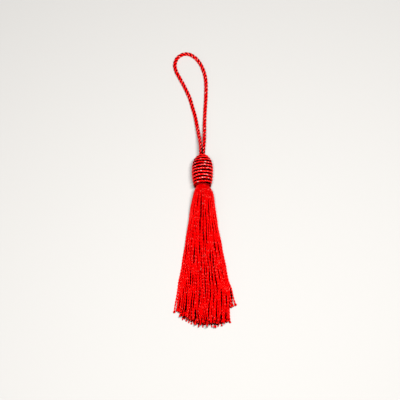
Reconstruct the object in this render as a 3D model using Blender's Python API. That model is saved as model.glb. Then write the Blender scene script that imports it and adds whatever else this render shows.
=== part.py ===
"""Silk tassel, lying flat: a skirt of threads, a cord-wound head and a twisted hanging loop.

Metres, +Z up. The tassel lies along Y on the plane z = 0, its skirt towards -Y and its loop towards +Y.
The origin is the middle of the small flat spot on which the head rests.
"""

import math
from collections import namedtuple

import bmesh
import bpy
import numpy as np
from mathutils import Vector

MM = 0.001
GOLDEN = (1 + math.sqrt(5)) / 2

# Head: an egg made of two half super-ellipses, wound with cord
HEAD_RADIUS = 5.62 * MM
HEAD_TOP = 8.75 * MM
HEAD_BOTTOM = -9.0 * MM
TOP_REACH = 9.1 * MM  # where the upper half would close
BOTTOM_REACH = 13.3 * MM  # where the lower half would close
EGG_POWER = 2.4
AXIS_HEIGHT = 4.98 * MM  # below the radius less the groove, so that the flat spot is one face wide
TURNS = 12
RINGS_PER_TURN = 6
HEAD_SIDES = 28
GROOVE_DEPTH = 0.5 * MM
PROFILE_SAMPLES = 600  # along the egg's outline, before it is cut into rings
MOUTH_RADIUS = 3.85 * MM  # the hollow that the neck of the skirt sits in
MOUTH_DEPTH = 2.2 * MM

# Skirt: threads on a golden lattice, which keeps them apart however much the bundle is flattened
THREADS_ABOUT = 124
PLUG_GAP = 0.3 * MM  # from the plug to the roof of the mouth
ROOT_INSET = 0.05 * MM
HEM_RISE = 6.5 * MM  # how much shorter the threads at both edges lie
HEM_SKEW = 2.6 * MM  # the left edge ends higher than the right
TIP_STAGGER = 1.1 * MM
LYING_SAG = 0.75  # how far the bundle's edges droop, as a share of half its height, where it lies flat
FLOOR_LAYER = 0.13  # depth of the layer whose threads lie on the surface, as a share of half the height
FLOOR_THREAD = 0.75  # those threads are finer, so that they clear the ones above
STRAY_EDGE = 0.93  # threads beyond this share of the half width stray
STRAY_TIP = -75.0 * MM
RIGHT_STRAY_OUT = 4.4 * MM
LEFT_STRAY_OUT = 0.6 * MM

# One row for each cross-section of the skirt, in millimetres. sag is the droop of its edges, as a share of
# half its height, and thread is half a thread's width.
Section = namedtuple("Section", "along left right base height sag thread")
SECTIONS = (
    Section(-8.8, -3.1, 3.1, 1.88, 6.2, 0.0, 0.30),
    Section(-12.6, -4.8, 5.3, 0.5, 8.8, 0.0, 0.40),
    Section(-26.0, -7.0, 7.3, 0.4, 7.3, 0.4, 0.37),
    Section(-50.0, -10.3, 11.2, 0.15, 5.5, LYING_SAG, 0.39),
    Section(-66.5, -12.8, 14.3, 0.15, 4.9, LYING_SAG, 0.42),
    Section(-86.3, -15.2, 14.7, 0.2, 4.2, LYING_SAG, 0.44),
)

# Hanging loop: three-strand cord
CORD_RADIUS = 0.97 * MM  # at the back of a strand
CORD_VALLEY = 0.66 * MM  # between two strands
CORD_LAY = 5.2 * MM  # length of one full turn of the twist
STEPS_PER_LAY = 12
STRANDS = 3
ROUTE_STEPS = 40  # between two of the route's points, before they are spaced evenly

# The loop's route in millimetres, from the head round and back to it, as it lies. Its ends stand 0.3 mm
# off the head's top, and its twist clears the surface.
RoutePoint = namedtuple("RoutePoint", "across along up")
ROUTE = (
    RoutePoint(-0.95, 9.15, 5.7),
    RoutePoint(-1.1, 15.1, 4.9),
    RoutePoint(-1.8, 20.6, 3.2),
    RoutePoint(-2.8, 26.6, 1.75),
    RoutePoint(-3.9, 32.4, 1.1),
    RoutePoint(-5.25, 37.5, 0.98),
    RoutePoint(-6.7, 42.6, 0.98),
    RoutePoint(-8.4, 46.7, 0.98),
    RoutePoint(-10.2, 50.6, 0.98),
    RoutePoint(-12.2, 54.4, 0.98),
    RoutePoint(-13.9, 57.9, 0.98),
    RoutePoint(-14.7, 61.5, 0.98),
    RoutePoint(-13.7, 65.2, 0.98),
    RoutePoint(-10.8, 67.7, 0.98),
    RoutePoint(-7.1, 67.9, 0.98),
    RoutePoint(-3.7, 65.8, 0.98),
    RoutePoint(-1.1, 62.4, 0.98),
    RoutePoint(0.6, 58.5, 0.98),
    RoutePoint(1.6, 54.5, 0.98),
    RoutePoint(1.95, 50.4, 0.98),
    RoutePoint(1.95, 46.2, 0.98),
    RoutePoint(1.8, 41.4, 0.98),
    RoutePoint(1.5, 36.4, 0.98),
    RoutePoint(1.3, 32.4, 1.1),
    RoutePoint(1.15, 26.6, 1.75),
    RoutePoint(1.1, 20.6, 3.1),
    RoutePoint(0.9, 15.4, 4.0),
    RoutePoint(0.55, 9.15, 4.3),
)


def clear_scene():
    for thing in list(bpy.data.objects):
        bpy.data.objects.remove(thing, do_unlink=True)


def make_material(name, colour, roughness):
    material = bpy.data.materials.new(name)
    material.use_nodes = True
    shader = material.node_tree.nodes["Principled BSDF"]
    shader.inputs["Base Color"].default_value = (*colour, 1.0)
    shader.inputs["Roughness"].default_value = roughness
    shader.inputs["Metallic"].default_value = 0.0
    return material


def add_mesh_object(name, bm, material):
    bmesh.ops.recalc_face_normals(bm, faces=bm.faces)
    mesh = bpy.data.meshes.new(name)
    bm.to_mesh(mesh)
    bm.free()
    mesh.materials.append(material)
    thing = bpy.data.objects.new(name, mesh)
    bpy.context.scene.collection.objects.link(thing)
    return thing


# Head


def egg_radius(along):
    reach = TOP_REACH if along > 0 else BOTTOM_REACH
    return HEAD_RADIUS * math.sqrt(1 - (abs(along) / reach) ** EGG_POWER)


def wound_profile():
    """(along, radius) of each ring of the winding: the egg, with a round-backed ridge for each turn."""
    along = np.linspace(HEAD_TOP, HEAD_BOTTOM, PROFILE_SAMPLES)
    radius = np.array([egg_radius(y) for y in along])
    arc = np.concatenate([[0], np.cumsum(np.hypot(np.diff(along), np.diff(radius)))])
    slope_along = np.gradient(along, arc)
    slope_radius = np.gradient(radius, arc)
    profile = []
    for ring in range(TURNS * RINGS_PER_TURN + 1):
        at = arc[-1] * ring / (TURNS * RINGS_PER_TURN)
        from_crest = 2 * abs((ring / RINGS_PER_TURN + 0.5) % 1 - 0.5)
        sink = GROOVE_DEPTH * (1 - math.sqrt(1 - from_crest**2))
        in_along = -np.interp(at, arc, slope_radius)
        in_radius = np.interp(at, arc, slope_along)
        profile.append(
            (
                np.interp(at, arc, along) + in_along * sink,
                np.interp(at, arc, radius) + in_radius * sink,
            )
        )
    return profile


def head_ring(bm, along, radius):
    """A ring about the head's axis. What would reach below the surface is pressed flat on it."""
    ring = []
    for side in range(HEAD_SIDES):
        angle = 2 * math.pi * side / HEAD_SIDES
        height = AXIS_HEIGHT - radius * math.cos(angle)
        ring.append(bm.verts.new((radius * math.sin(angle), along, max(height, 0.0))))
    return ring


def make_head(material):
    bm = bmesh.new()
    mouth = ((HEAD_BOTTOM, MOUTH_RADIUS), (HEAD_BOTTOM + MOUTH_DEPTH, MOUTH_RADIUS))
    rings = [head_ring(bm, along, radius) for along, radius in (*wound_profile(), *mouth)]
    for upper, lower in zip(rings, rings[1:]):
        for side in range(HEAD_SIDES):
            after = (side + 1) % HEAD_SIDES
            bm.faces.new((upper[side], upper[after], lower[after], lower[side]))
    bm.faces.new(rings[0])
    bm.faces.new(rings[-1])
    return add_mesh_object("wound_head", bm, material)


# Skirt


def lattice_point(a, b):
    """(across, deep) of a lattice point in the round bundle, whose radius is 1."""
    step = math.sqrt(math.pi / (THREADS_ABOUT * math.sqrt(5)))
    return step * (a + b * GOLDEN), step * (a + b * (1 - GOLDEN))


def thread_places():
    """The lattice points that fall inside the round bundle."""
    furthest = math.ceil(2 * math.sqrt(THREADS_ABOUT))
    reach = range(-furthest, furthest + 1)
    return [(a, b) for a in reach for b in reach if math.hypot(*lattice_point(a, b)) <= 1]


def section_at(along):
    """The skirt's cross-section at any distance along it, in metres."""
    rows = SECTIONS[::-1]
    stations = [row.along for row in rows]
    values = [np.interp(along / MM, stations, [row[i] for row in rows]) for i in range(len(Section._fields))]
    named = Section(*values)
    return named._replace(**{f: getattr(named, f) * MM for f in Section._fields if f != "sag"})


def bundle_point(section, across, deep):
    """Where a point of the round bundle lies in a cross-section."""
    middle = (section.left + section.right) / 2
    half_width = (section.right - section.left) / 2
    height = section.base + section.height / 2 * (1 + deep - section.sag * across**2)
    return Vector((middle + half_width * across, section.along, height))


def thread_at(section, across, deep):
    """(centre, half width) of a thread in a cross-section. The lowest layer lies level on the surface."""
    centre = bundle_point(section, across, deep)
    half = section.thread
    if section.sag == LYING_SAG and 1 + deep - LYING_SAG * across**2 < FLOOR_LAYER:
        half *= FLOOR_THREAD
        centre.z = half
    return centre, half


def tip_along(across, number):
    """Where a thread ends: a bowed hem, with its cut ends a little uneven."""
    hem = SECTIONS[-1].along * MM + HEM_RISE * across**2 - HEM_SKEW * across
    stagger = TIP_STAGGER * ((number * GOLDEN) % 1)
    return max(hem, SECTIONS[-1].along * MM) + stagger


def place_end(face, centre, half):
    """Turns a thread's end face into a diamond about centre."""
    middle = face.calc_center_median()
    for vert in face.verts:
        out = vert.co - middle
        if abs(out.x) > abs(out.z):
            vert.co = centre + Vector((math.copysign(half, out.x), 0, 0))
        else:
            vert.co = centre + Vector((0, 0, math.copysign(half, out.z)))


def stray_of(across):
    """How far outwards a thread at either edge ends. Those further in don't stray."""
    share = max(0, (abs(across) - STRAY_EDGE) / (1 - STRAY_EDGE))
    return share * (RIGHT_STRAY_OUT if across > 0 else -LEFT_STRAY_OUT)


def grow_thread(bm, root, number, across, deep):
    tip = STRAY_TIP if across > STRAY_EDGE else tip_along(across, number)
    end = root
    for along in [row.along * MM for row in SECTIONS[1:-1]] + [tip]:
        centre, half = thread_at(section_at(along), across, deep)
        if along == tip:
            centre.x += stray_of(across)
        end = bmesh.ops.extrude_discrete_faces(bm, faces=[end])["faces"][0]
        place_end(end, centre, half)


def root_cells(bm):
    """The plug's underside: one four-sided cell for each thread, as (cell, across, deep)."""
    section = section_at(SECTIONS[0].along * MM)
    corners = {}
    cells = []
    for a, b in thread_places():
        ring = []
        for i, j in ((0, 0), (1, 0), (1, 1), (0, 1)):
            if (a + i, b + j) not in corners:
                point = bundle_point(section, *lattice_point(a + i - 0.5, b + j - 0.5))
                corners[a + i, b + j] = bm.verts.new(point)
            ring.append(corners[a + i, b + j])
        cells.append((bm.faces.new(ring), *lattice_point(a, b)))
    return cells


def make_skirt(material):
    bm = bmesh.new()
    cells = root_cells(bm)
    faces = [cell for cell, _, _ in cells]
    raised = bmesh.ops.extrude_face_region(bm, geom=faces, use_keep_orig=True)["geom"]
    plug_top = HEAD_BOTTOM + MOUTH_DEPTH - PLUG_GAP
    for vert in [part for part in raised if isinstance(part, bmesh.types.BMVert)]:
        vert.co.y = plug_top
    roof = [part for part in raised if isinstance(part, bmesh.types.BMFace)]
    bmesh.ops.dissolve_faces(bm, faces=roof, use_verts=True)
    bmesh.ops.recalc_face_normals(bm, faces=bm.faces)
    bmesh.ops.inset_individual(bm, faces=faces, thickness=ROOT_INSET, use_even_offset=True)
    for number, (root, across, deep) in enumerate(cells):
        grow_thread(bm, root, number, across, deep)
    return add_mesh_object("thread_skirt", bm, material)


# Hanging loop


def between(before, start, end, after, t):
    """The point of a Catmull-Rom curve between start and end."""
    return 0.5 * (
        2 * start
        + (end - before) * t
        + (2 * before - 5 * start + 4 * end - after) * t**2
        + (3 * start - 3 * end + after - before) * t**3
    )


def smooth_route():
    """(points, length) of a smooth curve through the route, evenly spaced and close enough for the twist."""
    knots = [Vector(point) * MM for point in ROUTE]
    knots = [2 * knots[0] - knots[1], *knots, 2 * knots[-1] - knots[-2]]
    dense = [
        between(*four, step / ROUTE_STEPS)
        for four in zip(knots, knots[1:], knots[2:], knots[3:])
        for step in range(ROUTE_STEPS)
    ]
    dense = np.array(dense + [knots[-2]])
    arc = np.concatenate([[0], np.cumsum(np.linalg.norm(np.diff(dense, axis=0), axis=1))])
    steps = round(arc[-1] / CORD_LAY * STEPS_PER_LAY)
    even = np.linspace(0, arc[-1], steps + 1)
    return np.stack([np.interp(even, arc, dense[:, axis]) for axis in range(3)], axis=1), arc[-1]


def add_poly_curve(name, points, closed):
    data = bpy.data.curves.new(name, "CURVE")
    data.dimensions = "3D"
    spline = data.splines.new("POLY")
    spline.points.add(len(points) - 1)
    for target, point in zip(spline.points, points):
        target.co = (*point, 1.0)
    spline.use_cyclic_u = closed
    thing = bpy.data.objects.new(name, data)
    bpy.context.scene.collection.objects.link(thing)
    return thing


def make_loop(material):
    star = [
        (radius * math.cos(math.pi * corner / STRANDS), -radius * math.sin(math.pi * corner / STRANDS), 0.0)
        for corner, radius in enumerate((CORD_RADIUS, CORD_VALLEY) * STRANDS)
    ]
    section = add_poly_curve("cord_section_guide", star, closed=True)
    section.hide_render = True
    section.display_type = "WIRE"
    points, length = smooth_route()
    loop = add_poly_curve("hanging_loop", points, closed=False)
    for step, point in enumerate(loop.data.splines[0].points):
        point.tilt = -2 * math.pi * step / STEPS_PER_LAY
    loop.data.bevel_mode = "OBJECT"
    loop.data.bevel_object = section
    loop.data.use_fill_caps = True
    loop.data.twist_mode = "MINIMUM"
    loop.data.materials.append(material)
    print(f"hanging loop: {length / MM:.1f} mm of cord")
    return loop


def main():
    clear_scene()
    thread_red = make_material("red_twisted_thread", (0.70, 0.004, 0.006), 0.42)
    winding_red = make_material("red_wound_cord", (0.45, 0.005, 0.008), 0.38)
    cord_red = make_material("red_three_strand_cord", (0.55, 0.004, 0.007), 0.40)
    make_skirt(thread_red)
    make_head(winding_red)
    make_loop(cord_red)


main()
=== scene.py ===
# Silk tassel: a skirt of two-ply threads, a head wound with three-ply cord, and a hanging loop of
# three-ply cord. It lies along Y on z = 0, the skirt towards -Y and the loop towards +Y. Lengths
# are in metres.
import math

import bpy
import numpy as np
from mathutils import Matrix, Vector


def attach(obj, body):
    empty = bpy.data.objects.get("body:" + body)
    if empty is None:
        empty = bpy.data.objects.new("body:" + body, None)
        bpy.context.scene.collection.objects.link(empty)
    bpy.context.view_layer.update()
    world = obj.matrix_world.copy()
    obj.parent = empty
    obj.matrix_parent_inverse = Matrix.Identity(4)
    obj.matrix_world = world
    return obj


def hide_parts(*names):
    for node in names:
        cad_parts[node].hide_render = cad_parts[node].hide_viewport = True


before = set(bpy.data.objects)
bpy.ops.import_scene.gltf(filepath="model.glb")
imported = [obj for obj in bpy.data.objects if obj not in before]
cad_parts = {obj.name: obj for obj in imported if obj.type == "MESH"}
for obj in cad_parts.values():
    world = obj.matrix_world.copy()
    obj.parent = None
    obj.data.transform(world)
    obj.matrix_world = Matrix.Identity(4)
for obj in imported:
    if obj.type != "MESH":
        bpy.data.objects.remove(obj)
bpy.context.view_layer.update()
mm = 0.001
golden = (1 + math.sqrt(5)) / 2
dice = np.random.default_rng(21)
print("frame loaded:", ", ".join(sorted(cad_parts)))


# Camera, floor and light

view = {
    "elevation": 70.0,  # degrees above the table, seen from the skirt's side
    "distance": 2.4,
    "field": 0.2115,  # width taken in, at the target
    "target": (-1.27 * mm, -16.6 * mm, 5.0 * mm),
    "sensor": 36.0,
}

studio = {
    "floorSize": 3.0,
    "floor": "#aeaca9",
    "room": "#f4f5f8",  # light that comes from all round
    "roomStrength": 0.06,
    "keyPlace": (0.06, -0.13, 0.62),
    "keySize": (0.42, 0.05),  # across and along the table
    "keyPower": 9.2,
    "fillPlace": (-0.42, -0.25, 0.40),
    "fillSize": (0.5, 0.5),
    "fillPower": 0.5,
    "lampAim": (0, -0.02, 0),
}


# Each sRGB channel c turned linear: c / 12.92 up to 0.04045, then ((c + 0.055) / 1.055) ^ 2.4.
def linearColour(hexCode):
    channels = np.array([int(hexCode[i:i + 2], 16) for i in (1, 3, 5)]) / 255
    linear = np.where(channels <= 0.04045, channels / 12.92, ((channels + 0.055) / 1.055) ** 2.4)
    return (*linear.tolist(), 1.0)


# Adds a node. Settings named in lower case are the node's own, and the others are its sockets'.
def addNode(material, kind, settings=None, links=None):
    node = material.node_tree.nodes.new(kind)
    for name, value in (settings or {}).items():
        if isinstance(name, str) and name[0].islower():
            setattr(node, name, value)
        else:
            node.inputs[name].default_value = value
    for name, source in (links or {}).items():
        material.node_tree.links.new(source, node.inputs[name])
    return node


def newMaterial(name):
    material = bpy.data.materials.new(name)
    material.use_nodes = True
    return material


def shaderOf(material):
    return material.node_tree.nodes["Principled BSDF"]


def lookAt(thing, target):
    thing.rotation_euler = (Vector(target) - thing.location).to_track_quat("-Z", "Y").to_euler()


def link(thing):
    bpy.context.scene.collection.objects.link(thing)
    return thing


def makeCamera():
    data = bpy.data.cameras.new("tassel_camera")
    data.sensor_width = view["sensor"]
    data.lens = view["sensor"] * view["distance"] / view["field"]
    camera = link(bpy.data.objects.new("tassel_camera", data))
    tilt = math.radians(view["elevation"])
    back = Vector((0, -math.cos(tilt), math.sin(tilt)))
    camera.location = Vector(view["target"]) + back * view["distance"]
    lookAt(camera, view["target"])
    bpy.context.scene.camera = camera


def makeLamp(name, place, size, power):
    data = bpy.data.lights.new(name, "AREA")
    data.shape = "RECTANGLE"
    data.size, data.size_y = size
    data.energy = power
    lamp = link(bpy.data.objects.new(name, data))
    lamp.location = place
    lookAt(lamp, studio["lampAim"])


def makeStudio():
    half = studio["floorSize"] / 2
    mesh = bpy.data.meshes.new("studio_floor")
    corners = [(-half, -half, 0), (half, -half, 0), (half, half, 0), (-half, half, 0)]
    mesh.from_pydata(corners, [], [(0, 1, 2, 3)])
    floor = link(bpy.data.objects.new("studio_floor", mesh))
    paper = newMaterial("matt_pale_card")  # uncoated, so it scatters light evenly
    shaderOf(paper).inputs["Base Color"].default_value = linearColour(studio["floor"])
    shaderOf(paper).inputs["Roughness"].default_value = 0.9
    shaderOf(paper).inputs["Specular IOR Level"].default_value = 0.1
    mesh.materials.append(paper)
    makeLamp("key_lamp", studio["keyPlace"], studio["keySize"], studio["keyPower"])
    makeLamp("fill_lamp", studio["fillPlace"], studio["fillSize"], studio["fillPower"])
    world = bpy.data.worlds.new("studio_room")
    world.use_nodes = True
    background = world.node_tree.nodes["Background"]
    background.inputs["Color"].default_value = linearColour(studio["room"])
    background.inputs["Strength"].default_value = studio["roomStrength"]
    bpy.context.scene.world = world
    bpy.context.scene.view_settings.view_transform = "Standard"


makeCamera()
makeStudio()
print("camera and studio made")


# Shared shapes

deepGroove = 0.75  # past this the light hardly reaches, and the faces get the black painted-shade silk
patternShift = 3.7  # millimetres between the filament patterns of two tubes, so that they differ
rowMargin = 0.05  # left bare at each side of a tube's row in the map for baking


# Side and lift of a path: side lies square to the path and to up, and lift square to both.
def pathFrame(centres, up):
    along = np.gradient(centres, axis=-2)
    along /= np.linalg.norm(along, axis=-1, keepdims=True)
    side = np.cross(along, up)
    side /= np.linalg.norm(side, axis=-1, keepdims=True)
    return side, np.cross(side, along)


# Distance along each path, from its first point.
def arcLength(centres):
    strides = np.linalg.norm(np.diff(centres, axis=-2), axis=-1)
    return np.concatenate([np.zeros_like(strides[..., :1]), np.cumsum(strides, axis=-1)], axis=-1)


# Ply paths of a laid cord: cord centre + throw * (cos(turn) * side + sin(turn) * lift), where turn
# falls by a full circle in each lay, which lays the plies up to the right. throw is one value, or
# one for each step.
def plyPaths(centres, throw, lay, plies, up):
    side, lift = pathFrame(centres, up)
    start = 2 * np.pi * np.arange(plies)[:, None] / plies
    turn = (start - 2 * np.pi * arcLength(centres) / lay)[..., None]
    return centres + np.reshape(throw, (-1, 1)) * (np.cos(turn) * side + np.sin(turn) * lift)


# Rings along paths: point = centre + a * side + b * lift, for each corner (a, b) of the section
# there. centres is (tubes, steps, 3) and sections (tubes, steps, corners, 2).
def ringPoints(centres, sections, up):
    side, lift = pathFrame(centres, up)
    return (
        centres[:, :, None]
        + sections[..., :1] * side[:, :, None]
        + sections[..., 1:] * lift[:, :, None]
    )


# The points of all the rings, then the middle of each end of each tube, on which that end closes.
def tubePoints(centres, sections, up):
    ends = centres[:, [0, -1]]
    return np.concatenate([ringPoints(centres, sections, up).reshape(-1, 3), ends.reshape(-1, 3)])


# How far each corner of a tube lies from a middle line, along a direction, as a share of reach.
def standing(centres, sections, up, middle, direction, reach):
    direction = direction / np.linalg.norm(direction, axis=-1, keepdims=True)
    out = ringPoints(centres, sections, up) - middle[..., None, :]
    return np.sum(out * direction[..., None, :], axis=-1) / reach


# 0 up to start, 1 past end, and 3 t^2 - 2 t^3 at the share t of the way between them. It also runs
# downwards, where end is less than start.
def ease(value, start, end):
    t = np.clip((value - start) / (end - start), 0, 1)
    return t * t * (3 - 2 * t)


# Numbers from 0 along each axis of a grid of the given size, each as a whole array.
def gridNumbers(*sizes):
    return np.meshgrid(*(np.arange(size) for size in sizes), indexing="ij")


# Quads round each tube and a fan on each end, as vertex numbers for tubePoints.
def tubeFaces(tubes, steps, corners):
    tube, step, corner = gridNumbers(tubes, steps - 1, corners)
    after = (corner + 1) % corners
    low = (tube * steps + step) * corners
    high = low + corners
    quads = np.stack([low + corner, high + corner, high + after, low + after], axis=-1)
    tube, corner = gridNumbers(tubes, corners)
    after = (corner + 1) % corners
    first = tube * steps * corners
    last = first + (steps - 1) * corners
    middle = tubes * steps * corners + 2 * tube
    roots = np.stack([middle, first + corner, first + after], axis=-1)
    tips = np.stack([middle + 1, last + after, last + corner], axis=-1)
    return quads.reshape(-1, 4), np.stack([roots, tips], axis=1).reshape(-1, 3)


# Where each face corner lies: (share of its tube's length, share of the way round), and its tube.
def tubeSpots(tubes, steps, corners):
    _, step, corner = gridNumbers(tubes, steps - 1, corners)
    low, high = step / (steps - 1), (step + 1) / (steps - 1)
    near, far = corner / corners, (corner + 1) / corners
    quads = np.stack([low, near, high, near, high, far, low, far], axis=-1).reshape(-1, 2)
    _, end, corner = gridNumbers(tubes, 2, corners)
    near, far = corner / corners, (corner + 1) / corners
    first, second = np.where(end == 0, near, far), np.where(end == 0, far, near)
    fans = np.stack([end, (near + far) / 2, end, first, end, second], axis=-1).reshape(-1, 2)
    owner = np.concatenate([
        np.repeat(np.arange(tubes), (steps - 1) * corners * 4),
        np.repeat(np.arange(tubes), 2 * corners * 3),
    ])
    return np.concatenate([quads, fans]), owner


# A mesh object from whole arrays: quads, then triangles, UV maps by face corner, marks by vertex.
def addSurface(name, points, quads, triangles, material, maps, marks=None):
    mesh = bpy.data.meshes.new(name)
    mesh.vertices.add(len(points))
    mesh.vertices.foreach_set("co", points.astype(np.float32).ravel())
    corners = np.concatenate([quads.ravel(), triangles.ravel()]).astype(np.int32)
    starts = np.concatenate([4 * np.arange(len(quads)), quads.size + 3 * np.arange(len(triangles))])
    mesh.loops.add(len(corners))
    mesh.loops.foreach_set("vertex_index", corners)
    mesh.polygons.add(len(starts))
    mesh.polygons.foreach_set("loop_start", starts.astype(np.int32))
    mesh.polygons.foreach_set("use_smooth", np.ones(len(starts), bool))
    for title, places in maps.items():
        mesh.uv_layers.new(name=title).data.foreach_set("uv", places.astype(np.float32).ravel())
    for title, values in (marks or {}).items():
        attribute = mesh.attributes.new(title, "FLOAT", "POINT")
        attribute.data.foreach_set("value", values.astype(np.float32))
    mesh.update(calc_edges=True)
    mesh.validate()
    mesh.materials.append(material)
    return link(bpy.data.objects.new(name, mesh))


# A value for each tube, ring or corner, given to all the vertices of tubePoints.
def overTubes(values, tubes, steps, corners):
    full = np.broadcast_to(values, (tubes, steps, corners))
    return np.concatenate([full.ravel(), full[:, [0, -1], 0].ravel()])


# Which faces lie deep between plies or threads and get the black painted-shade silk: the quads
# whose corners have a mean groove over deepGroove.
def deepFaces(groove, tubes, steps, corners):
    near = np.broadcast_to(groove, (tubes, steps, corners))
    across = near + np.roll(near, -1, axis=2)
    mean = (across[:, :-1] + across[:, 1:]) / 4
    return np.concatenate([mean.ravel() > deepGroove, np.zeros(2 * tubes * corners, bool)])


# Tubes as one piece, with no point lower than floor. Its map "lay" holds (millimetres along, turns
# round), and "OFBake" a row for each tube. marks hold a value for each corner, ring or tube, and
# their groove, the painted-shade mark, says which faces get the black painted-shade silk.
def addTubes(name, centres, sections, material, up, floor, marks=None):
    tubes, steps, corners = sections.shape[:3]
    points = tubePoints(centres, sections, up)
    points[:, 2] = np.maximum(points[:, 2], floor)
    quads, fans = tubeFaces(tubes, steps, corners)
    spots, owner = tubeSpots(tubes, steps, corners)
    lengths = arcLength(centres)[:, -1] / mm
    lay = np.stack([spots[:, 0] * lengths[owner] + patternShift * owner, spots[:, 1]], axis=-1)
    row = owner + rowMargin + (1 - 2 * rowMargin) * spots[:, 1]
    maps = {"lay": lay, "OFBake": np.stack([spots[:, 0], row / tubes], axis=-1)}
    if not marks:
        return addSurface(name, points, quads, fans, material, maps)
    spread = {title: overTubes(values, tubes, steps, corners) for title, values in marks.items()}
    piece = addSurface(name, points, quads, fans, material, maps, spread)
    piece.data.materials.append(shadedSilk)
    deep = deepFaces(marks["groove"], tubes, steps, corners)
    piece.data.polygons.foreach_set("material_index", deep.astype(np.int32))
    return piece


# A round section of the given radius for every step of every tube.
def roundSections(radius, corners):
    angle = 2 * np.pi * np.arange(corners) / corners
    return radius[..., None, None] * np.stack([np.cos(angle), np.sin(angle)], axis=-1)


# Silk yarn: filaments laid side by side. It is glossy along the ply, deep in colour, with painted
# shade where plies meet. tone runs from 0 to 1 with how bright a thread is, groove, the painted
# shade, from 0 on a ply's back to 1 between plies, and shine from 0 to 1 with how much painted
# highlight it gets.
def silkMaterial(name, look):
    noiseSpan = {"From Min": 0.3, "From Max": 0.75}  # nearly all of the streaks' noise
    glintEdge = 0.08  # how soft the edge of a glint is, in its noise
    looseEnds = 0.9  # how much rougher a groove is than a ply's back
    material = newMaterial(name)
    lay = addNode(material, "ShaderNodeUVMap", {"uv_map": "lay"})
    tone = addNode(material, "ShaderNodeAttribute", {"attribute_name": "tone"})
    groove = addNode(material, "ShaderNodeAttribute", {"attribute_name": "groove"})
    shine = addNode(material, "ShaderNodeAttribute", {"attribute_name": "shine"})
    # Filaments are about 0.015 mm thick and run with the ply. The streaks are drawn ten or more
    # times as coarse, to show.
    stretched = addNode(
        material, "ShaderNodeMapping",
        {"Scale": (look["streaksPerMm"], look["streaksRound"], 1.0)},
        {"Vector": lay.outputs["UV"]},
    )
    streaks = addNode(
        material, "ShaderNodeTexNoise",
        {"noise_dimensions": "2D", "Scale": 1.0, "Detail": 3.0, "Roughness": 0.6},
        {"Vector": stretched.outputs["Vector"]},
    )
    # The silk's red by tone; in the skirt the tone also carries painted shade at the neck and
    # painted light.
    dyeAndShade = addNode(
        material, "ShaderNodeMix",
        {"data_type": "RGBA", 6: linearColour(look["deep"]), 7: linearColour(look["bright"])},
        {0: tone.outputs["Fac"]},
    )
    streakShade = addNode(
        material, "ShaderNodeMapRange",
        {**noiseSpan, "To Min": look["streakDepth"], "To Max": 0.0},
        {"Value": streaks.outputs["Fac"]},
    )
    # Painted shade: the colour goes towards the shadow colour where the groove mark is high.
    shade = addNode(
        material, "ShaderNodeMath",
        {"operation": "MULTIPLY_ADD", "use_clamp": True, 1: look["grooveDepth"]},
        {0: groove.outputs["Fac"], 2: streakShade.outputs["Result"]},
    )
    colour = addNode(
        material, "ShaderNodeMix",
        {"data_type": "RGBA", 7: linearColour(look["shadow"])},
        {0: shade.outputs["Value"], 6: dyeAndShade.outputs[2]},
    )
    # Painted highlights: short pale glints mixed into the colour on a ply's back, drawn coarser
    # than real ones.
    spread = addNode(
        material, "ShaderNodeMapping",
        {"Scale": (look["glintsPerMm"], look["glintsRound"], 1.0)},
        {"Vector": lay.outputs["UV"]},
    )
    specks = addNode(
        material, "ShaderNodeTexNoise",
        {"noise_dimensions": "2D", "Scale": 1.0, "Detail": 1.0},
        {"Vector": spread.outputs["Vector"]},
    )
    glint = addNode(
        material, "ShaderNodeMapRange",
        {"From Min": look["glintFrom"], "From Max": look["glintFrom"] + glintEdge},
        {"Value": specks.outputs["Fac"]},
    )
    pale = addNode(
        material, "ShaderNodeMath",
        {"operation": "MULTIPLY", "use_clamp": True},
        {0: glint.outputs["Result"], 1: shine.outputs["Fac"]},
    )
    glinting = addNode(
        material, "ShaderNodeMix",
        {"data_type": "RGBA", 7: linearColour(look["glint"])},
        {0: pale.outputs["Value"], 6: colour.outputs[2]},
    )
    polish = addNode(
        material, "ShaderNodeMapRange",
        {**noiseSpan, "To Min": look["roughMost"], "To Max": look["roughLeast"]},
        {"Value": streaks.outputs["Fac"]},
    )
    # Loose fibre ends stand up in the grooves, which makes them matt.
    rough = addNode(
        material, "ShaderNodeMath",
        {"operation": "MULTIPLY_ADD", "use_clamp": True, 1: looseEnds},
        {0: groove.outputs["Fac"], 2: polish.outputs["Result"]},
    )
    bump = addNode(
        material, "ShaderNodeBump",
        {"Strength": look["bump"], "Distance": 0.03 * mm},
        {"Height": streaks.outputs["Fac"]},
    )
    shader = shaderOf(material)
    join = material.node_tree.links.new
    join(glinting.outputs[2], shader.inputs["Base Color"])
    join(rough.outputs["Value"], shader.inputs["Roughness"])
    join(bump.outputs["Normal"], shader.inputs["Normal"])
    shader.inputs["Metallic"].default_value = 0.0
    shader.inputs["IOR"].default_value = 1.54  # silk and viscose filament
    shader.inputs["Specular IOR Level"].default_value = look["specular"]
    shader.inputs["Specular Tint"].default_value = linearColour(look["gloss"])
    return material


# Painted shade: near-black silk for the faces down in the grooves and the layer beneath the head,
# where the light hardly reaches. It is matt, as loose fibre ends stand up there.
def shadedMaterial():
    material = newMaterial("shaded_silk_fibre")
    shaderOf(material).inputs["Base Color"].default_value = linearColour("#060000")
    shaderOf(material).inputs["Roughness"].default_value = 0.9
    shaderOf(material).inputs["Specular IOR Level"].default_value = 0.0
    return material


shadedSilk = shadedMaterial()


# Hanging loop: one cord of three plies, from the head round and back to it

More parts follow.
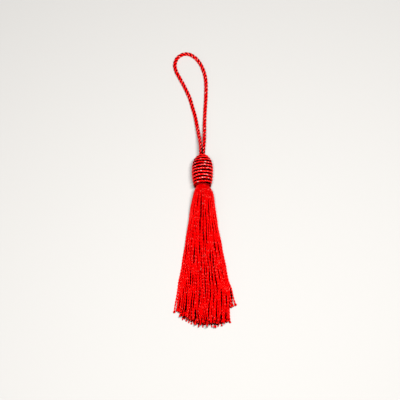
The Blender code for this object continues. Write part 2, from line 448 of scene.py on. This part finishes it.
loop = {
    "plyRadius": 0.53 * mm,
    "throw": 0.50 * mm,  # from the cord's middle to a ply's. Soft plies press into each other
    "plies": 3,
    "lay": 5.9 * mm,
    "stepsPerLay": 20,
    "corners": 12,
    "rootDepth": 1.0 * mm,  # how far each end runs on into the head
    "snug": 0.2,  # how much thinner the cord is drawn where it leaves the head
    "snugLength": 13.0 * mm,  # from the head, until the cord has its full thickness
    # (across, along, up) in millimetres, from the left foot round to the right one
    "route": (
        (-0.95, 9.15, 5.7), (-1.1, 15.1, 4.9), (-1.8, 20.6, 3.2), (-2.8, 26.6, 1.75),
        (-3.9, 32.4, 1.1), (-5.25, 37.5, 0.98), (-6.7, 42.6, 0.98), (-8.4, 46.7, 0.98),
        (-10.2, 50.6, 0.98), (-12.2, 54.4, 0.98), (-13.9, 57.9, 0.98), (-14.7, 61.5, 0.98),
        (-13.7, 65.2, 0.98), (-10.8, 67.7, 0.98), (-7.1, 67.9, 0.98), (-3.7, 65.8, 0.98),
        (-1.1, 62.4, 0.98), (0.6, 58.5, 0.98), (1.6, 54.5, 0.98), (1.95, 50.4, 0.98),
        (1.95, 46.2, 0.98), (1.8, 41.4, 0.98), (1.5, 36.4, 0.98), (1.3, 32.4, 1.1),
        (1.15, 26.6, 1.75), (1.1, 20.6, 3.1), (0.9, 15.4, 4.0), (0.55, 9.15, 4.3),
    ),
    "spanPoints": 40,  # worked out between two points of the route
    "tones": (0.75, 0.9, 0.6),  # how bright each ply is
    # How far out, as shares of the cord's radius, the painted shade between plies begins and is
    # full, and the painted glints do
    "groove": (0.91, 0.77),
    "crest": (0.9, 1.0),
    # The painted shade between the two legs: where across they meet, and how far from that line,
    # and from the head, it begins and is full
    "meeting": -0.1 * mm,
    "metAcross": (0.6 * mm, 0.2 * mm),
    "metAlong": (8.0 * mm, 3.0 * mm),
    "look": {
        # shadow is the colour of the painted shade, and glint that of the painted highlights
        "bright": "#fa0204", "deep": "#e00103", "shadow": "#020000",
        "gloss": "#ff5a50", "specular": 0.1, "roughLeast": 0.2, "roughMost": 0.3,
        "streaksPerMm": 0.35, "streaksRound": 16.0, "streakDepth": 0.12,
        "grooveDepth": 1.0, "bump": 0.3,
        "glint": "#ffb4ac", "glintsPerMm": 1.5, "glintsRound": 2.5, "glintFrom": 0.65,
    },
}


# A Catmull-Rom curve through the points, then set out evenly. Between b and c, it is 0.5 * (2 b +
# (c - a) t + (2 a - 5 b + 4 c - d) t^2 + (3 b - 3 c + d - a) t^3), with a before b and d after c.
def smoothPath(points, spacing):
    knots = np.vstack([2 * points[0] - points[1], points, 2 * points[-1] - points[-2]])
    a, b, c, d = (knots[i:len(knots) - 3 + i, None] for i in range(4))
    t = np.linspace(0, 1, loop["spanPoints"], endpoint=False)[None, :, None]
    squared = (2 * a - 5 * b + 4 * c - d) * t ** 2
    cubed = (3 * b - 3 * c + d - a) * t ** 3
    curve = 0.5 * (2 * b + (c - a) * t + squared + cubed)
    curve = np.vstack([curve.reshape(-1, 3), points[-1]])
    arc = arcLength(curve)
    even = np.linspace(0, arc[-1], round(arc[-1] / spacing) + 1)
    return np.stack([np.interp(even, arc, curve[:, axis]) for axis in range(3)], axis=-1)


# The loop: plies about the route, drawn thinner by snug where the cord leaves the head.
def makeLoop():
    up = (0, 0, 1)
    route = smoothPath(np.array(loop["route"]) * mm, loop["lay"] / loop["stepsPerLay"])
    into = np.array([0, -loop["rootDepth"], 0])
    middle = np.vstack([route[0] + into, route, route[-1] + into])
    fromHead = np.minimum(arcLength(middle), arcLength(middle[::-1])[::-1])
    thickness = 1 - loop["snug"] * (1 - ease(fromHead, 0, loop["snugLength"]))
    paths = plyPaths(middle, loop["throw"] * thickness, loop["lay"], loop["plies"], up)
    radius = np.tile(loop["plyRadius"] * thickness, (loop["plies"], 1))
    sections = roundSections(radius, loop["corners"])
    reach = loop["throw"] + loop["plyRadius"]
    proud = standing(paths, sections, up, middle, paths - middle, reach) / thickness[:, None]
    # Painted shade between the two legs where they meet at the head, as little light reaches there.
    fromMeeting = np.abs(ringPoints(paths, sections, up)[..., 0] - loop["meeting"])
    met = ease(fromMeeting, *loop["metAcross"]) * ease(fromHead, *loop["metAlong"])[:, None]
    marks = {
        "groove": np.maximum(ease(proud, *loop["groove"]), met),
        "tone": np.array(loop["tones"])[:, None, None],
        "shine": ease(proud, *loop["crest"]) * (1 - met),
    }
    # Laid silk cord: each ply shows as a slanting bead, with painted shade and painted glints.
    silk = silkMaterial("three_ply_silk_cord", loop["look"])
    cord = addTubes("loop_cord", paths, sections, silk, up, 0.0, marks)
    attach(cord, "root")
    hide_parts("hanging_loop")


# Wound head: three-ply cord laid in turns over an egg, on a near-black layer of painted shade

head = {
    "radius": 5.62 * mm,
    "top": 8.75 * mm,
    "bottom": -9.0 * mm,
    "topReach": 9.1 * mm,  # where the upper half would close
    "bottomReach": 13.3 * mm,
    "eggPower": 2.4,
    "outlinePoints": 800,
    "axisHeight": 4.98 * mm,
    "turns": 12,  # ridges from top to bottom
    "levelTurn": 0.5,  # at least this part of a turn lies level at each end
    "lastPlace": 0.98,  # share of the outline at which the last turn lies
    "startTurn": 0.5,  # where round the axis the winding starts, in turns from the highest side
    "sunk": 0.45 * mm,  # the cord's middle lies this far inside the egg
    "plyRadius": 0.39 * mm,
    "throw": 0.25 * mm,
    "plies": 3,
    "lay": 4.2 * mm,
    "stepsPerLay": 14,
    "corners": 8,
    "wobble": 0.14 * mm,  # how far a turn strays along the head
    "wobbleWaves": (3.3, 9.7),  # in each turn
    "measuredPoints": 4000,  # along the winding, to find its length
    "underDepth": 0.95 * mm,  # the layer beneath lies this far inside the egg
    "underFloor": 0.3 * mm,  # and keeps this far off the table
    "underCorners": 48,
    "underRings": 40,
    "tones": (0.9, 1.0, 0.8),  # how bright each ply is
    # How far out, as shares of the cord's radius, the painted shade between plies and between turns
    # begins and is full, and the painted glints do
    "plyGroove": (0.90, 0.52),
    "plyDark": 0.6,  # how dark the full painted shade is between plies
    "turnGroove": (0.80, 0.48),
    "crest": (0.85, 1.0),
    "crestHeight": (2.4 * mm, 4.4 * mm),  # above the axis, where the painted glints begin and are full, on the upper side the light falls on
    "outwardLean": 0.5,  # how far outwards leans along the head, 1 being straight from its middle
    "crownDark": 0.76,  # share of the painted shade that is left at the crown
    "crownTurns": (1.5, 4.0),  # from the top, where the crown ends and the painted shade is full
    "flankLight": 0.55,  # share of the painted shade that is lost at the flanks
    "flank": (4.2 * mm, 5.0 * mm),  # from the axis, where the flanks begin and are full
    "lastTurnShade": (1.4, 0.9),  # turns before the end, over which the lowest turn is drawn in painted shade
    "lastTurnShadeDark": 0.7,  # how dark that painted shade is
    "look": {
        # shadow is the colour of the painted shade, and glint that of the painted highlights
        "bright": "#ff0203", "deep": "#d80203", "shadow": "#060000",
        "gloss": "#ff5a50", "specular": 0.12, "roughLeast": 0.08, "roughMost": 0.13,
        "streaksPerMm": 0.35, "streaksRound": 14.0, "streakDepth": 0.1,
        "grooveDepth": 1.0, "bump": 0.05,
        "glint": "#ffccc6", "glintsPerMm": 0.8, "glintsRound": 2.0, "glintFrom": 0.54,
    },
}


# Egg: radius * sqrt(1 - (|along| / reach) ^ power), with one reach for each half.
def eggRadius(along):
    reach = np.where(along > 0, head["topReach"], head["bottomReach"])
    return head["radius"] * np.sqrt(1 - (np.abs(along) / reach) ** head["eggPower"])


# The egg's outline a depth inside it, at shares of its own length from the top: (along, radius).
def eggOutline(shares, depth):
    along = np.linspace(head["top"], head["bottom"], head["outlinePoints"])
    outline = np.stack([along, eggRadius(along)], axis=-1)
    arc = arcLength(outline)
    inward = np.gradient(outline, arc, axis=0)[:, ::-1] * (-1, 1)
    places = outline + depth * inward
    return tuple(np.interp(shares * arc[-1], arc, places[:, axis]) for axis in range(2))


# (radius * sin(angle), along, axis height + radius * cos(angle)), angle falling by a full circle in
# each turn. The cord lies level at both ends, and works its way along the head between them.
def windingPath(shares):
    turn = shares * head["turns"]
    place = (turn - head["levelTurn"]) / (head["turns"] - 2 * head["levelTurn"])
    along, radius = eggOutline(np.clip(place, 0, head["lastPlace"]), head["sunk"])
    angle = -2 * np.pi * (turn + head["startTurn"])
    slow, fast = head["wobbleWaves"]
    along = along + head["wobble"] * (np.sin(slow * angle) + np.sin(fast * angle + 1)) / 2
    up = head["axisHeight"] + radius * np.cos(angle)
    return np.stack([radius * np.sin(angle), along, up], axis=-1)


# The winding's painted shade is the more of that between plies and that between turns, less at the
# crown and the flanks. Its painted glints lie on the backs of the turns, on the upper side.
def windingMarks(middle, paths, sections, up):
    reach = head["throw"] + head["plyRadius"]
    fromPly = standing(paths, sections, up, middle, paths - middle, reach)
    between = head["plyDark"] * ease(fromPly, *head["plyGroove"])
    outward = middle - (0, 0, head["axisHeight"])
    outward[:, 1] *= head["outwardLean"]
    proud = standing(paths, sections, up, middle, outward, reach)
    beside = ease(proud, *head["turnGroove"])
    turn = np.linspace(0, head["turns"], len(middle))
    # Less painted shade at the crown, where turns lie closer, and at the flanks, where light comes
    # in.
    crown = head["crownDark"] + (1 - head["crownDark"]) * ease(turn, *head["crownTurns"])
    flank = 1 - head["flankLight"] * ease(np.abs(middle[:, 0]), *head["flank"])
    spaced = (crown * flank)[:, None] * np.maximum(between, beside)
    # Painted shade on the lowest turn, which faces down to the skirt; painted glints only on the
    # upper side.
    lastTurnShade = ease(head["turns"] - turn, *head["lastTurnShade"])
    glinting = ease(outward[:, 2], *head["crestHeight"]) * (1 - lastTurnShade)
    return {
        "groove": np.maximum(spaced, head["lastTurnShadeDark"] * lastTurnShade[:, None]),
        "tone": np.array(head["tones"])[:, None, None],
        "shine": ease(proud, *head["crest"]) * glinting[:, None],
    }


# The winding: plies about windingPath, with steps enough for its length.
def makeWinding():
    up = (0, 1, 0)
    length = arcLength(windingPath(np.linspace(0, 1, head["measuredPoints"])))[-1]
    steps = round(length / head["lay"] * head["stepsPerLay"])
    middle = windingPath(np.linspace(0, 1, steps))
    paths = plyPaths(middle, head["throw"], head["lay"], head["plies"], up)
    sections = roundSections(np.full(paths.shape[:2], head["plyRadius"]), head["corners"])
    marks = windingMarks(middle, paths, sections, up)
    # Tightly wound silk cord, with painted highlights in broken lines on its backs.
    silk = silkMaterial("wound_silk_cord", head["look"])
    winding = addTubes("head_winding", paths, sections, silk, up, 0.0, marks)
    print(f"head: {head['turns']:.0f} turns, {arcLength(middle)[-1] / mm:.0f} mm of cord")
    return winding


# The layer beneath: a round section of eggOutline's radius at each ring along the axis. Drawn in
# the near-black silk, it is painted shade that shows between turns.
def makeUnderLayer():
    rings = head["underRings"]
    along, radius = eggOutline(np.linspace(0, 1, rings), head["underDepth"])
    centres = np.stack([np.zeros(rings), along, np.full(rings, head["axisHeight"])], axis=-1)
    sections = roundSections(radius[None], head["underCorners"])
    up, floor = (0, 0, 1), head["underFloor"]
    return addTubes("head_under_layer", centres[None], sections, shadedSilk, up, floor)


def makeHead():
    for piece in (makeWinding(), makeUnderLayer()):
        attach(piece, "root")
        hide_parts("wound_head")


# Skirt: threads on a golden lattice across the bundle, so that they keep apart however flat it lies

skirt = {
    "threads": 250,  # about how many
    "root": -7.0 * mm,  # inside the head
    # Cross-sections of the bundle in millimetres, through the middles of its outermost threads. sag
    # is the droop of its edges, as a share of half its height, and thread is half a thread's width
    # over both plies.
    "along": (-7.0, -8.8, -12.6, -26.0, -40.0, -50.0, -60.0, -66.5, -86.4),
    "left": (-2.8, -3.3, -4.6, -7.1, -9.2, -10.5, -12.0, -12.9, -15.6),
    "right": (2.8, 3.4, 5.5, 7.6, 10.0, 11.8, 13.8, 15.2, 15.5),
    "base": (1.9, 1.8, 0.6, 0.4, 0.3, 0.2, 0.1, 0.1, 0.1),
    "height": (6.3, 6.9, 8.7, 7.4, 6.3, 5.7, 5.3, 5.1, 4.3),
    "sag": (0.0, 0.0, 0.0, 0.4, 0.62, 0.75, 0.75, 0.75, 0.75),
    "thread": (0.188, 0.216, 0.273, 0.310, 0.338, 0.357, 0.367, 0.367, 0.310),
    "hem": -86.4 * mm,
    "hemRise": 5.6 * mm,  # how much shorter the threads at both edges lie
    "hemSkew": 2.6 * mm,  # the left edge ends higher than the right
    "stagger": 3.6 * mm,  # how much higher than the hem's line the shortest threads end
    "longEvery": 13,  # from left to right, every so many threads end low, and show as single knobs
    "longShare": 0.2,  # of the stagger, that those end within
    "shortShare": 0.4,  # of the stagger, that all the others clear
    "lay": 3.6 * mm,
    "stepsPerLay": 9,
    "corners": 8,
    # From the thread's middle to a ply's, and a ply's radius, as shares of half the thread's width
    "plyThrow": 0.42,
    "plyRadius": 0.58,
    "pinch": (0.6, 1.0),  # sines of the angle from the plies' line, where it begins and is full
    "pieces": 5,  # the threads are shared out over this many pieces
    "wander": 0.20 * mm,  # how far a thread drifts sideways, once clear of the neck
    "heave": 0.28 * mm,  # and up or down
    "driftWaves": (6.0 * mm, 13.0 * mm, 35.0 * mm),
    "driftShares": (0.10, 0.42, 0.48),
    "drifting": (-9.0 * mm, -20.0 * mm),  # along, where threads begin to drift, and drift in full
    "settling": 0.15 * mm,  # how gently the lowest threads come to lie on the table
    "tipBend": 0.5 * mm,  # how far tips bend sideways
    "bendLength": 9.0 * mm,  # from the tip
    "bendMiddle": 1.1,  # share of that bend in the bundle's middle, 1 more than at its edges
    "swelling": 0.3,  # how much thicker the loose threads at both edges are
    "edge": (0.86, 0.96),  # share of half the width, from which a thread is one of those
    "swollen": (-30.0 * mm, -50.0 * mm),  # along, where they begin to swell, and are full
    "flare": 0.8,  # the cut ends open by this share
    "flaring": (1.3 * mm, 0.26 * mm),  # from the tip, where they begin to open, and are open
    "capSteps": (0.14 * mm, 0.24 * mm, 0.30 * mm),  # past the tip, to round it off
    "capLength": 0.32 * mm,
    "capEnd": 0.97,  # share of the cap's length, past which it gets no thinner
    # Threads that stray at the right edge: where each tip lies, in millimetres (across, along)
    "strays": ((17.5, -74.0), (16.0, -74.5), (15.1, -75.2)),
    "strayFrom": -60.0 * mm,
    "strayCurve": 1.7,  # power by which they leave the rest
    "leftStray": 0.6 * mm,  # how far the outermost thread on the left stands off
    "leftStrayAlong": (-48.0 * mm, -70.0 * mm),  # where it begins to, and does in full
    # The grid that finds how deep a thread is buried, for its painted shade: a cell's size across
    # and along, the number of rows along and columns across, and the row of the hem and the column
    # of the middle line
    "cell": (0.2 * mm, 0.5 * mm),
    "cells": (180, 220),
    "originCell": (4, 110),
    "backCells": 2,  # how many to each side a thread's back is drawn over
    "span": 4,  # how many to each side close a gap over
    "buried": (0.11 * mm, 0.66 * mm),  # depth at which painted shade on a thread begins, and is black
    "parted": 0.35,  # how much more the depth counts for painted shade at the tips, where threads part
    "parting": (9.0 * mm, 1.0 * mm),  # from the tip, where they begin to, and have
    "tipLight": 0.35,  # share of the painted shade that is lost at the cut ends
    "behindTip": (0.4 * mm, 1.8 * mm),  # from the tip, where it begins to come back, and is full
    "pinchDark": 0.17,  # how dark the painted shade is between a thread's two plies
    "neckDark": 0.2,  # share of the painted shade that is left at the neck, where threads are tied close
    "loose": (-9.0 * mm, -21.0 * mm),  # along, where the neck ends, and the painted shade and tone are full
    "tone": 0.7,  # how bright the threads are, away from the neck, which is drawn darker as painted shade
    "toneSpread": 0.2,  # from thread to thread, and again along each one: random tone, partly painted light
    "shineLoss": 2.0,  # how fast the painted glints go as the painted shade grows
    "look": {
        # shadow is the colour of the painted shade, and glint that of the painted highlights
        "bright": "#f20001", "deep": "#c00001", "shadow": "#040000",
        "gloss": "#ff5a50", "specular": 0.1, "roughLeast": 0.08, "roughMost": 0.14,
        "streaksPerMm": 0.5, "streaksRound": 8.0, "streakDepth": 0.15,
        "grooveDepth": 1.0, "bump": 0.1,
        "glint": "#ff6058", "glintsPerMm": 0.9, "glintsRound": 3.0, "glintFrom": 0.7,
    },
}


# Lattice points (step * (a + b * golden), step * (a + b * (1 - golden))) that fall in a round
# bundle of radius 1.
def threadPlaces():
    step = math.sqrt(math.pi / (skirt["threads"] * math.sqrt(5)))
    reach = np.arange(-40, 41)  # well past the last point that falls inside
    a, b = np.meshgrid(reach, reach, indexing="ij")
    across, deep = step * (a + b * golden), step * (a + b * (1 - golden))
    inside = np.hypot(across, deep) <= 1
    return across[inside], deep[inside]


# A column of the cross-sections at any distance along, eased between rows by a monotone cubic: each
# row's slope is the harmonic mean of those beside it, or 0 at a turn.
def sectionValue(column, along):
    x = np.array(skirt["along"])[::-1] * mm
    y = np.array(skirt[column])[::-1] * (1 if column == "sag" else mm)
    slope = np.diff(y) / np.diff(x)
    before, after = slope[:-1], slope[1:]
    product = before * after
    mean = np.where(product > 0, 2 * product / np.where(product > 0, before + after, 1), 0)
    tangent = np.concatenate([slope[:1], mean, slope[-1:]])
    row = np.clip(np.searchsorted(x, along) - 1, 0, len(x) - 2)
    width = x[row + 1] - x[row]
    t = (along - x[row]) / width
    return (
        (1 + 2 * t) * (1 - t) ** 2 * y[row] + t * (1 - t) ** 2 * width * tangent[row]
        + t ** 2 * (3 - 2 * t) * y[row + 1] + t ** 2 * (t - 1) * width * tangent[row + 1]
    )


# A slow drift for each thread: the sum of share * sin(2 pi * along / wave + a random phase).
def drift(count, along):
    waves, shares = np.array(skirt["driftWaves"]), np.array(skirt["driftShares"])
    phases = dice.uniform(0, 2 * np.pi, (count, 1, len(waves)))
    return np.sum(shares * np.sin(2 * np.pi * along[..., None] / waves + phases), axis=-1)


# Paths of all the threads: (middle + half width * across, along, base + half height * (1 + deep -
# sag * across^2)), plus drift, bent tips and strays. The lowest threads ease on to the table.
def threadPaths(across, deep, shares):
    count = len(across)
    hem = skirt["hem"] + skirt["hemRise"] * across ** 2 - skirt["hemSkew"] * across
    order = np.argsort(across)
    long = np.argsort(order) % skirt["longEvery"] == 0
    late = np.arange(count) * golden % 1
    short = skirt["shortShare"] + (1 - skirt["shortShare"]) * late
    tip = np.maximum(hem, skirt["hem"])
    tip = tip + skirt["stagger"] * np.where(long, skirt["longShare"] * late, short)
    strays = order[::-1][:len(skirt["strays"])]
    strayTips = np.array(skirt["strays"]) * mm
    tip[strays] = strayTips[:, 1]
    along = skirt["root"] + (tip[:, None] - skirt["root"]) * shares
    across, deep = across[:, None], deep[:, None]
    leftEdge, rightEdge = sectionValue("left", along), sectionValue("right", along)
    x = (leftEdge + rightEdge) / 2 + (rightEdge - leftEdge) / 2 * across
    z = sectionValue("base", along) + sectionValue("height", along) / 2 * (
        1 + deep - sectionValue("sag", along) * across ** 2
    )
    free = ease(along, *skirt["drifting"])
    x = x + skirt["wander"] * free * drift(count, along)
    z = z + skirt["heave"] * free * drift(count, along)
    fromTip = along - tip[:, None]
    nearTip = np.clip(1 - fromTip / skirt["bendLength"], 0, None)
    bent = (skirt["bendMiddle"] - across ** 2) * nearTip ** 2
    x = x + skirt["tipBend"] * dice.normal(0, 1, (count, 1)) * bent
    strayed = (skirt["strayFrom"] - along) / (skirt["strayFrom"] - tip[:, None])
    away = np.clip(strayed, 0, None) ** skirt["strayCurve"]
    out = np.zeros((count, 1))
    last = len(shares) - 1 - len(skirt["capSteps"])
    out[strays, 0] = strayTips[:, 0] - x[strays, last]
    x = x + out * away
    x[order[0]] -= skirt["leftStray"] * ease(along[order[0]], *skirt["leftStrayAlong"])
    lowest = sectionValue("thread", along)
    z = lowest + (z - lowest + np.sqrt((z - lowest) ** 2 + skirt["settling"] ** 2)) / 2
    return np.stack([x, along, z], axis=-1), tip


# The grid cell, (row, column), in which each point lies.
def gridCells(points):
    width, length = skirt["cell"]
    row, column = skirt["originCell"]
    return (
        np.rint((points[..., 1] - skirt["hem"]) / length).astype(int) + row,
        np.rint(points[..., 0] / width).astype(int) + column,
    )


# The highest back of the threads in each cell: the most of direction * z + sqrt(radius^2 - distance
# across^2), where direction is 1 for the upper face and -1 for the lower one.
def bundleSkin(centres, radius, direction):
    skin = np.full(skirt["cells"], -1.0)  # far below all the threads
    row, column = gridCells(centres)
    for i in range(-skirt["backCells"], skirt["backCells"] + 1):
        rise = np.sqrt(np.clip(radius ** 2 - (i * skirt["cell"][0]) ** 2, 0, None))
        np.maximum.at(skin, (row, column + i), direction * centres[..., 2] + rise)
    return skin


# A lid over the bundle: in each cell, the skin itself or the lower of the highest skins to the left
# and right. It spans a gap between two threads, and follows the bundle's rounded sides.
def bundleLid(centres, radius, direction):
    skin = bundleSkin(centres, radius, direction)
    left, right = (
        np.max([np.roll(skin, sign * i, axis=1) for i in range(1, skirt["span"] + 1)], axis=0)
        for sign in (1, -1)
    )
    return np.maximum(skin, np.minimum(left, right))


# How deep each corner lies under the lids over both faces of the bundle, whichever is less. The
# first coordinate runs across and the last one up, so points with the two swapped give the depth
# from the left and right.
def depthUnder(centres, radius, corners):
    cells = gridCells(corners)
    upper, lower = (bundleLid(centres, radius, direction)[cells] for direction in (1, -1))
    return np.minimum(upper - corners[..., 2], lower + corners[..., 2])


# Two plies side by side. A corner at angle a lies throw * |cos a| + sqrt(radius^2 - throw^2 * sin^2
# a) from the middle, which is pinched where the plies meet.
def plySections(size, turn):
    angle = 2 * np.pi * np.arange(skirt["corners"]) / skirt["corners"]
    throw, radius = skirt["plyThrow"], skirt["plyRadius"]
    reach = throw * np.abs(np.cos(angle)) + np.sqrt(radius ** 2 - (throw * np.sin(angle)) ** 2)
    turned = angle + turn[..., None]
    outline = reach[:, None] * np.stack([np.cos(turned), np.sin(turned)], axis=-1)
    return outline * size[..., None, None], ease(np.abs(np.sin(angle)), *skirt["pinch"])


# Half a thread's width: thread * (1 + flare at the tip) * sqrt(1 - (distance past the tip / cap
# length)^2) * (1 + swelling at both edges).
def threadSize(centres, across, fromTip):
    along = centres[..., 1]
    flared = 1 + skirt["flare"] * ease(fromTip, *skirt["flaring"])
    rounded = np.sqrt(1 - np.clip(-fromTip / skirt["capLength"], 0, skirt["capEnd"]) ** 2)
    atEdge = ease(np.abs(across), *skirt["edge"])[:, None]
    swollen = 1 + skirt["swelling"] * atEdge * ease(along, *skirt["swollen"])
    return sectionValue("thread", along) * flared * rounded * swollen


# Painted shade on the threads grows with how deep they are buried, plus pinchDark between two
# plies, less at the cut ends and at the neck. The tone varies from thread to thread; painted glints
# fade in it.
def threadMarks(centres, size, corners, fromTip, pinch):
    along = centres[..., 1]
    fromAbove = depthUnder(centres, size, corners)
    fromSide = depthUnder(centres[..., ::-1], size, corners[..., ::-1])
    # The threads part at the hem, and more painted shade goes between them there.
    parted = 1 + skirt["parted"] * ease(fromTip, *skirt["parting"])[..., None]
    dark = ease(np.minimum(fromAbove, fromSide) * parted, *skirt["buried"])
    behind = ease(fromTip, *skirt["behindTip"])[..., None]
    shade = (1 - skirt["tipLight"] * (1 - behind)) * dark + skirt["pinchDark"] * pinch
    loose = ease(along, *skirt["loose"])
    groove = (skirt["neckDark"] + (1 - skirt["neckDark"]) * loose[..., None]) * shade
    # Tone that differs at random, partly painted light where threads catch more or less of it.
    varied = dice.uniform(-1, 1, (len(centres), 1)) + drift(len(centres), along)
    # At the neck the tone is low, a painted shade there.
    tone = skirt["tone"] * loose + skirt["toneSpread"] * varied
    return {
        "groove": np.clip(groove, 0, 1),
        "tone": np.clip(tone, 0, 1)[..., None],
        "shine": np.clip(1 - skirt["shineLoss"] * groove, 0, 1),
    }


# The skirt: a two-ply section carried along each thread's path, and the threads shared out.
def makeSkirt():
    across, deep = threadPlaces()
    count = len(across)
    longest = skirt["root"] - skirt["hem"]
    steps = round(longest / skirt["lay"] * skirt["stepsPerLay"])
    capped = 1 + np.array(skirt["capSteps"]) / longest
    shares = np.concatenate([np.linspace(0, 1, steps), capped])
    centres, tips = threadPaths(across, deep, shares)
    fromTip = centres[..., 1] - tips[:, None]
    size = threadSize(centres, across, fromTip)
    turn = -2 * np.pi * arcLength(centres) / skirt["lay"] + 2 * np.pi * dice.random((count, 1))
    sections, pinch = plySections(size, turn)
    up = (0, 0, 1)
    corners = ringPoints(centres, sections, up)
    marks = threadMarks(centres, size, corners, fromTip, pinch)
    # Spun silk thread: bright red, each ply shows as a small bead, with painted shade and painted
    # glints.
    silk = silkMaterial("two_ply_silk_thread", skirt["look"])
    for i in range(skirt["pieces"]):
        chosen = np.arange(i, count, skirt["pieces"])
        shown = {title: values[chosen] for title, values in marks.items()}
        name = f"skirt_threads_{i + 1}"
        threads = addTubes(name, centres[chosen], sections[chosen], silk, up, 0.0, shown)
        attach(threads, "root")
        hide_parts("thread_skirt")
    print(f"skirt: {count} threads of {steps} steps")


makeLoop()
makeHead()
makeSkirt()
